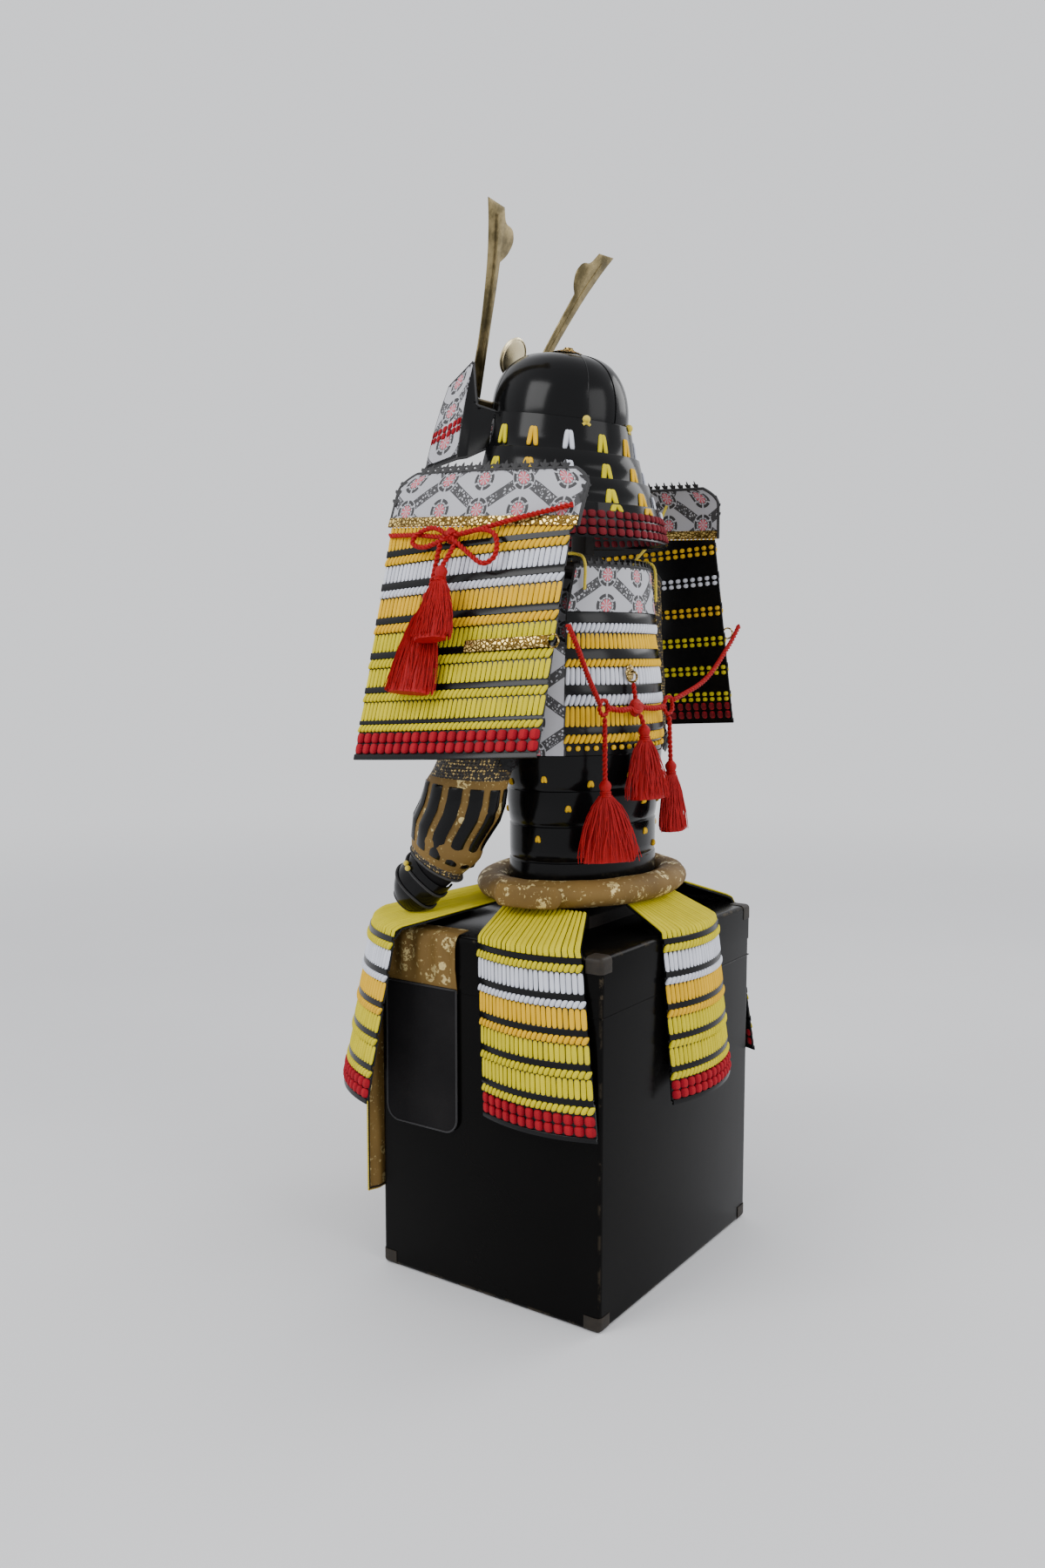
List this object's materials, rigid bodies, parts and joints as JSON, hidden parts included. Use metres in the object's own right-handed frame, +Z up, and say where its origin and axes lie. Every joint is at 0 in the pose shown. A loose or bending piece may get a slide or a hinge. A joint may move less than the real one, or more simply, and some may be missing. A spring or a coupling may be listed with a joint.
{
  "type": "samurai armour on its storage box",
  "caption": "Samurai armour with horned helmet, laced shoulder guards and skirt, sleeves and cuirass, seen from behind, standing on a black lacquered storage box.",
  "frame": {"origin": "on the floor, under the middle of the storage box", "axes": "+Z up, the armour faces -Y, +X is the wearer's left"},
  "size_m": [0.6698, 0.5219, 1.5447],
  "materials": {
    "lacquer": "black lacquer over wood, clear gloss, worn at the edges",
    "plate": "black lacquered iron, satin to gloss",
    "wood": "dark stained wood, matt",
    "leather": "printed leather, grey ground with a dark lattice and red flowers",
    "laced": "flat braided cord in lemon yellow, orange, white and red between black lacquered plates",
    "cord_yellow": "braided yellow cord",
    "cord_red": "twisted red silk cord and strands",
    "brocade": "woven gold brocade",
    "cloth": "dark lined cloth with mail and black splints",
    "gilt": "gilt brass, lightly tarnished",
    "bronze": "aged olive brass"
  },
  "bodies": {
    "root": {"apron_front_left": "brocade", "apron_front_right": "brocade", "apron_side_left": "cloth", "apron_side_right": "cloth", "back_knot": "cord_red", "back_tassel_left": "cord_red", "back_tassel_middle": "cord_red", "back_tassel_right": "cord_red", "belt": "brocade", "belt_end": "brocade", "blowback_left": "leather", "blowback_right": "leather", "bow_left": "cord_red", "bow_right": "cord_red", "bow_tassel_back_left": "cord_red", "bow_tassel_back_right": "cord_red", "bow_tassel_front_left": "cord_red", "bow_tassel_front_right": "cord_red", "box_body": "lacquer", "box_lid": "lacquer", "cord_bracket": "gilt", "crown_ornament": "gilt", "cuirass_back": "laced", "cuirass_back_top": "leather", "cuirass_front": "leather", "cuirass_waist": "plate", "guard_cord_left": "cord_red", "guard_cord_right": "cord_red", "guard_fitting_left": "gilt", "guard_fitting_right": "gilt", "guard_laced_left": "laced", "guard_laced_right": "laced", "guard_plate_left": "leather", "guard_plate_right": "leather", "guard_tie_left": "cord_yellow", "guard_tie_right": "cord_yellow", "hand_guard_left": "plate", "hand_guard_right": "plate", "helmet_bowl": "plate", "helmet_visor": "plate", "horn_holder": "bronze", "horn_left": "bronze", "horn_right": "bronze", "neck_lame_1": "plate", "neck_lame_2": "plate", "neck_lame_3": "plate", "neck_lame_4": "plate", "shoulder_strap_left": "cloth", "shoulder_strap_right": "cloth", "skirt_back": "laced", "skirt_front_left": "laced", "skirt_front_right": "laced", "skirt_left": "laced", "skirt_right": "laced", "sleeve_left": "cloth", "sleeve_right": "cloth", "stand_bar": "wood", "stand_foot": "wood", "stand_head": "wood", "stand_post": "wood"}
  },
  "joints": []
}
